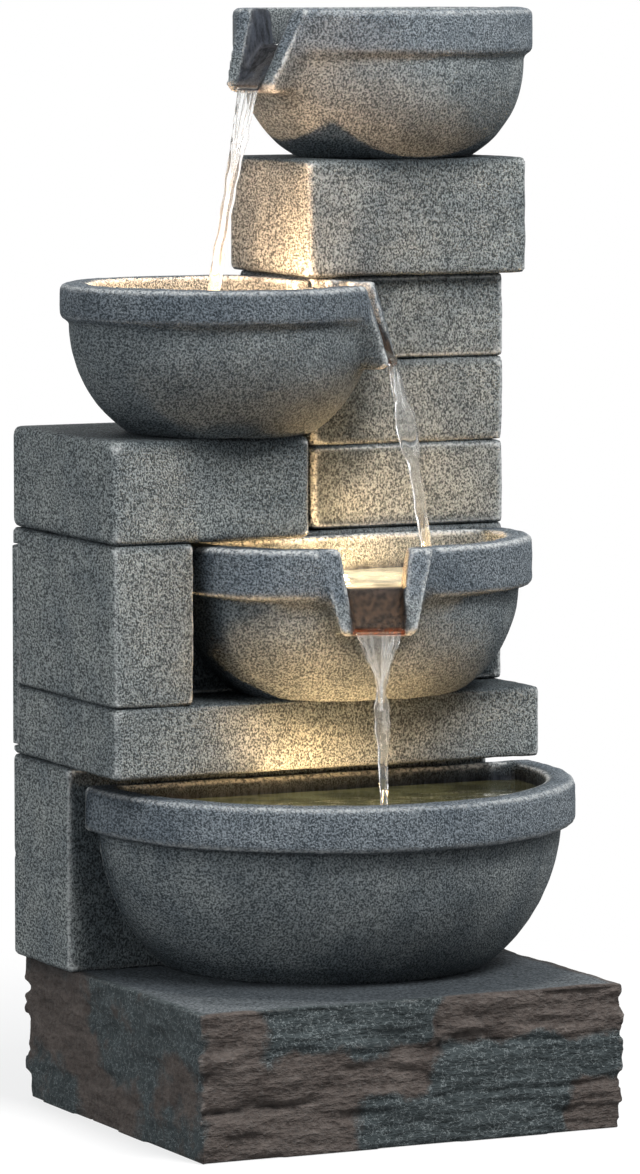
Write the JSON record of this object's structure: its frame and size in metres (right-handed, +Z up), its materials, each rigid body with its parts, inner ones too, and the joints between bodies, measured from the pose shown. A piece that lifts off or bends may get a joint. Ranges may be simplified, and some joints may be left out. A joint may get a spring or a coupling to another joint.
{
  "type": "tiered fountain",
  "caption": "Free-standing tiered garden fountain: stacked cast-stone blocks on a slate plinth, spouted bowls pouring down to a basin, with a pump, riser and lights inside.",
  "frame": {"origin": "centre of the plinth's underside, on its middle rib", "axes": "+Z up; the front, where the basin is, faces -Y; +X is the side the tall column stands on"},
  "size_m": [0.4815, 0.4005, 1],
  "materials": {
    "bowl_stone": "matte",
    "block_stone": "matte",
    "slate": "matte",
    "door_panel": "matte",
    "steel": "satin",
    "hose": "satin",
    "fitting": "satin",
    "rubber": "matte",
    "pump_case": "matte",
    "shaft": "polished",
    "rotor": "satin",
    "dial": "satin",
    "light_case": "satin",
    "light_lens": "gloss"
  },
  "bodies": {
    "fountain": {"plinth": "slate", "sump_block": "block_stone", "lower_basin": "bowl_stone", "ledge_slab": "block_stone", "left_pillar": "block_stone", "back_wall": "block_stone", "cap_block": "block_stone", "column_lower": "block_stone", "column_middle": "block_stone", "column_upper": "block_stone", "top_block": "block_stone", "top_bowl": "bowl_stone", "left_bowl": "bowl_stone", "middle_bowl": "bowl_stone", "door_pegs": "steel", "riser_hose": "hose", "hose_clamps": "steel", "spigot": "fitting", "spigot_gasket": "rubber", "spigot_nut": "fitting", "pump_body": "pump_case", "pump_volute": "pump_case", "pump_shaft": "shaft", "pump_nozzle": "pump_case", "pump_suction_cups": "rubber", "cable_grommet": "rubber", "left_light_body": "light_case", "left_light_lens": "light_lens", "middle_light_body": "light_case", "middle_light_lens": "light_lens", "basin_light_body": "light_case", "basin_light_lens": "light_lens"},
    "door": {"rear_door": "door_panel"},
    "impeller": {"pump_impeller": "rotor"},
    "strainer": {"pump_strainer": "pump_case"},
    "dial": {"pump_dial": "dial"}
  },
  "joints": [
    {"name": "door_pull", "type": "slide", "parent": "fountain", "child": "door", "axis": [0, 1, 0], "range_m": [0, 0.08]},
    {"name": "impeller_spin", "type": "hinge", "parent": "fountain", "child": "impeller", "pos_m": [0.123, 0.1395, 0.179], "axis": [1, 0, 0], "continuous": true},
    {"name": "strainer_pull", "type": "slide", "parent": "fountain", "child": "strainer", "axis": [-1, 0, 0], "range_m": [0, 0.045]},
    {"name": "dial_turn", "type": "hinge", "parent": "strainer", "child": "dial", "pos_m": [0.0804, 0.1395, 0.179], "axis": [1, 0, 0], "range_deg": [0, 90]}
  ]
}
